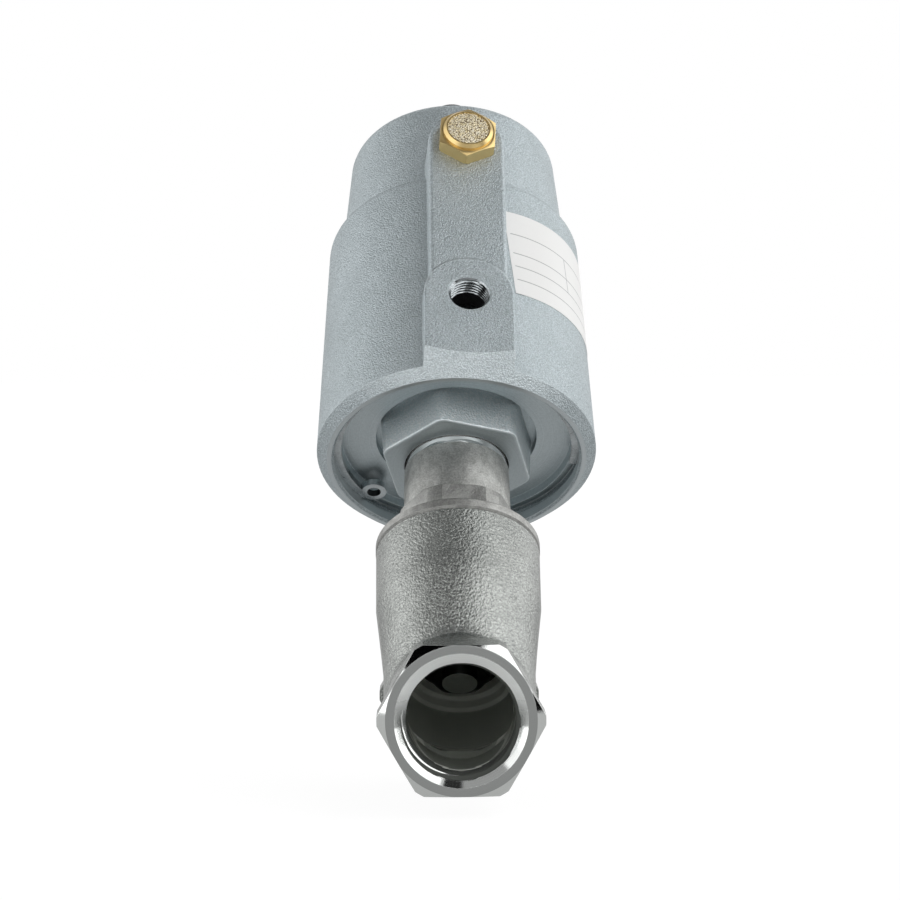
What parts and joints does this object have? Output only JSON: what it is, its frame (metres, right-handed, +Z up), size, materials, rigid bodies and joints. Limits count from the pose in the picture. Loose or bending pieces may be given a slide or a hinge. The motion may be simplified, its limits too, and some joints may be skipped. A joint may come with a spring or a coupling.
{
  "type": "pneumatic shut-off valve",
  "caption": "Angle-seat shut-off valve with threaded pipe ends, an inclined bonnet and a spring-return piston actuator with an air port and an exhaust silencer.",
  "frame": {"origin": "on the axis of the inlet port, where its thread begins 1.43 mm inside the end face", "axes": "+Y along the pipe from inlet to outlet; +Z up, with the stem leaning 50 degrees up from +Y towards +Z; +X to the side, square to both"},
  "size_m": [0.0662, 0.16, 0.158],
  "materials": {
    "cast_stainless": "investment cast, blasted",
    "turned_stainless": "fine turned",
    "spring_steel": "drawn wire",
    "cast_aluminium": "die cast, blasted",
    "cover_aluminium": "die cast, faces turned",
    "brass": "turned",
    "sintered_bronze": "sintered grains",
    "smoked_plastic": "moulded, glossy",
    "label_film": "printed film",
    "ptfe": "waxy",
    "guide_plastic": "machined",
    "seal_rubber": "moulded"
  },
  "bodies": {
    "valve": {"valve_body": "cast_stainless", "bonnet": "turned_stainless", "bonnet_gasket": "ptfe", "bonnet_seal": "seal_rubber", "lower_guide_bush": "guide_plastic", "packing_support_washer": "turned_stainless", "packing_spring": "spring_steel", "packing_thrust_washer": "turned_stainless", "packing_lower_adapter": "ptfe", "packing_ring_1": "ptfe", "packing_ring_2": "ptfe", "packing_ring_3": "ptfe", "packing_ring_4": "ptfe", "packing_upper_adapter": "ptfe", "gland_nut": "turned_stainless", "gland_bush": "guide_plastic", "rod_seal": "seal_rubber", "end_cover": "cover_aluminium", "cover_seal": "seal_rubber"},
    "housing": {"actuator_housing": "cast_aluminium", "snap_ring": "spring_steel", "silencer_body": "brass", "silencer_element": "sintered_bronze", "sight_cap": "smoked_plastic", "cap_seal": "seal_rubber", "label": "label_film", "outer_return_spring": "spring_steel", "inner_return_spring": "spring_steel"},
    "stem": {"stem": "turned_stainless", "valve_disc": "turned_stainless", "seat_seal": "ptfe", "disc_washer": "turned_stainless", "disc_nut": "turned_stainless", "piston": "cast_aluminium", "stem_seal": "seal_rubber", "piston_seal": "seal_rubber", "piston_guide_ring": "guide_plastic", "piston_washer": "turned_stainless", "piston_nut": "turned_stainless", "indicator_rod": "turned_stainless"}
  },
  "joints": [
    {"name": "stem_slide", "type": "slide", "parent": "valve", "child": "stem", "axis": [0, 0.6428, 0.766], "range_m": [0, 0.01], "stiffness_N_per_m": 20000, "springref_m": -0.03, "deforming": ["outer_return_spring", "inner_return_spring"]},
    {"name": "housing_swivel", "type": "hinge", "parent": "valve", "child": "housing", "pos_m": [0, 0.03607, 0], "axis": [0, 0.6428, 0.766], "continuous": true}
  ]
}
